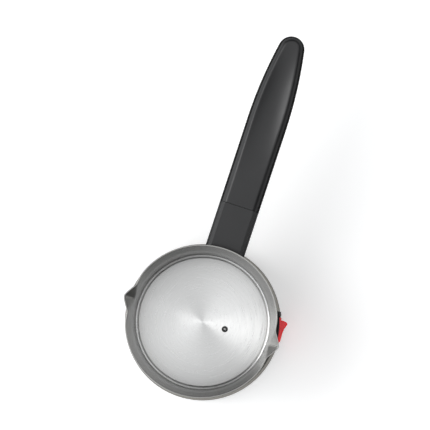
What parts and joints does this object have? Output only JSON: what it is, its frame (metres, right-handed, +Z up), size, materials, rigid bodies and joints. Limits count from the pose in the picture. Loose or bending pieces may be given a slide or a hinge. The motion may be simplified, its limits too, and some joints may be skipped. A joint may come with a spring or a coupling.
{
  "type": "cordless electric coffee pot",
  "caption": "Small cordless electric coffee pot: steel pot with two pouring spouts, wide heater base with a rocker switch, and a long black handle.",
  "frame": {"origin": "on the pot's axis at the standing plane, the mouth of the cordless socket", "axes": "+Z up along the pot's axis, +Y along the handle, +X through the right spout"},
  "size_m": [0.1224, 0.2748, 0.115],
  "materials": {
    "pot_steel": "brushed",
    "floor_steel": "brushed in rings",
    "skirt_steel": "satin",
    "black_plastic": "fine grain",
    "grip_plastic": "satin",
    "red_plastic": "gloss",
    "white_plastic": "moulded",
    "silicone_black": "soft",
    "silicone_grey": "soft",
    "aluminium_plate": "rolled",
    "element_sheath": "dull",
    "plain_steel": "plain",
    "zinc_steel": "bright zinc",
    "contact_brass": "plain",
    "ceramic_white": "unglazed",
    "lead_sleeve": "braided"
  },
  "bodies": {
    "pot": {"base_cover": "black_plastic", "base_skirt": "skirt_steel", "bimetal_discs": "plain_steel", "chassis_ring": "black_plastic", "connector_socket": "white_plastic", "contact_leaf": "contact_brass", "contact_rings": "contact_brass", "control_body": "white_plastic", "cover_screws": "zinc_steel", "earth_tab": "contact_brass", "element_leads": "lead_sleeve", "element_pins": "zinc_steel", "fixed_contact": "contact_brass", "floor_plate": "floor_steel", "floor_seal": "silicone_black", "grip_lower_shell": "black_plastic", "grip_screws": "zinc_steel", "grip_upper_cover": "grip_plastic", "handle_bracket": "plain_steel", "handle_root": "grip_plastic", "handle_screw": "zinc_steel", "heat_spreader": "aluminium_plate", "heating_element": "element_sheath", "plate_studs": "zinc_steel", "pot_body": "pot_steel", "sensor_clip": "plain_steel", "sensor_probe": "plain_steel", "sensor_seal": "silicone_black", "skirt_seal": "silicone_grey", "stud_nuts": "zinc_steel", "stud_spacers": "ceramic_white", "switch_bezel": "black_plastic", "switch_pin": "plain_steel", "switch_spring": "plain_steel", "thermal_fuse": "ceramic_white", "trip_pin": "plain_steel"},
    "switch_lever": {"switch_lever": "red_plastic"},
    "trip_rocker": {"trip_rocker": "white_plastic"},
    "push_pin": {"push_pin": "ceramic_white"}
  },
  "joints": [
    {"name": "switch_hinge", "type": "hinge", "parent": "pot", "child": "switch_lever", "pos_m": [0.0494, 0.0105, 0.0155], "axis": [-0.2079, 0.9781, 0], "range_deg": [0, 12]},
    {"name": "trip_hinge", "type": "hinge", "parent": "pot", "child": "trip_rocker", "pos_m": [0.03032, 0.00645, 0.0155], "axis": [-0.2079, 0.9781, 0], "range_deg": [-8.1, 0.1]},
    {"name": "push_slide", "type": "slide", "parent": "pot", "child": "push_pin", "axis": [0, 0, -1], "range_m": [-0.0001, 0.0015], "deforming": ["contact_leaf"]}
  ],
  "couplings": [
    {"joint": "trip_hinge", "follows": "switch_hinge", "ratio": -0.66667},
    {"joint": "push_slide", "follows": "switch_hinge", "m_per_rad": 0.007}
  ]
}
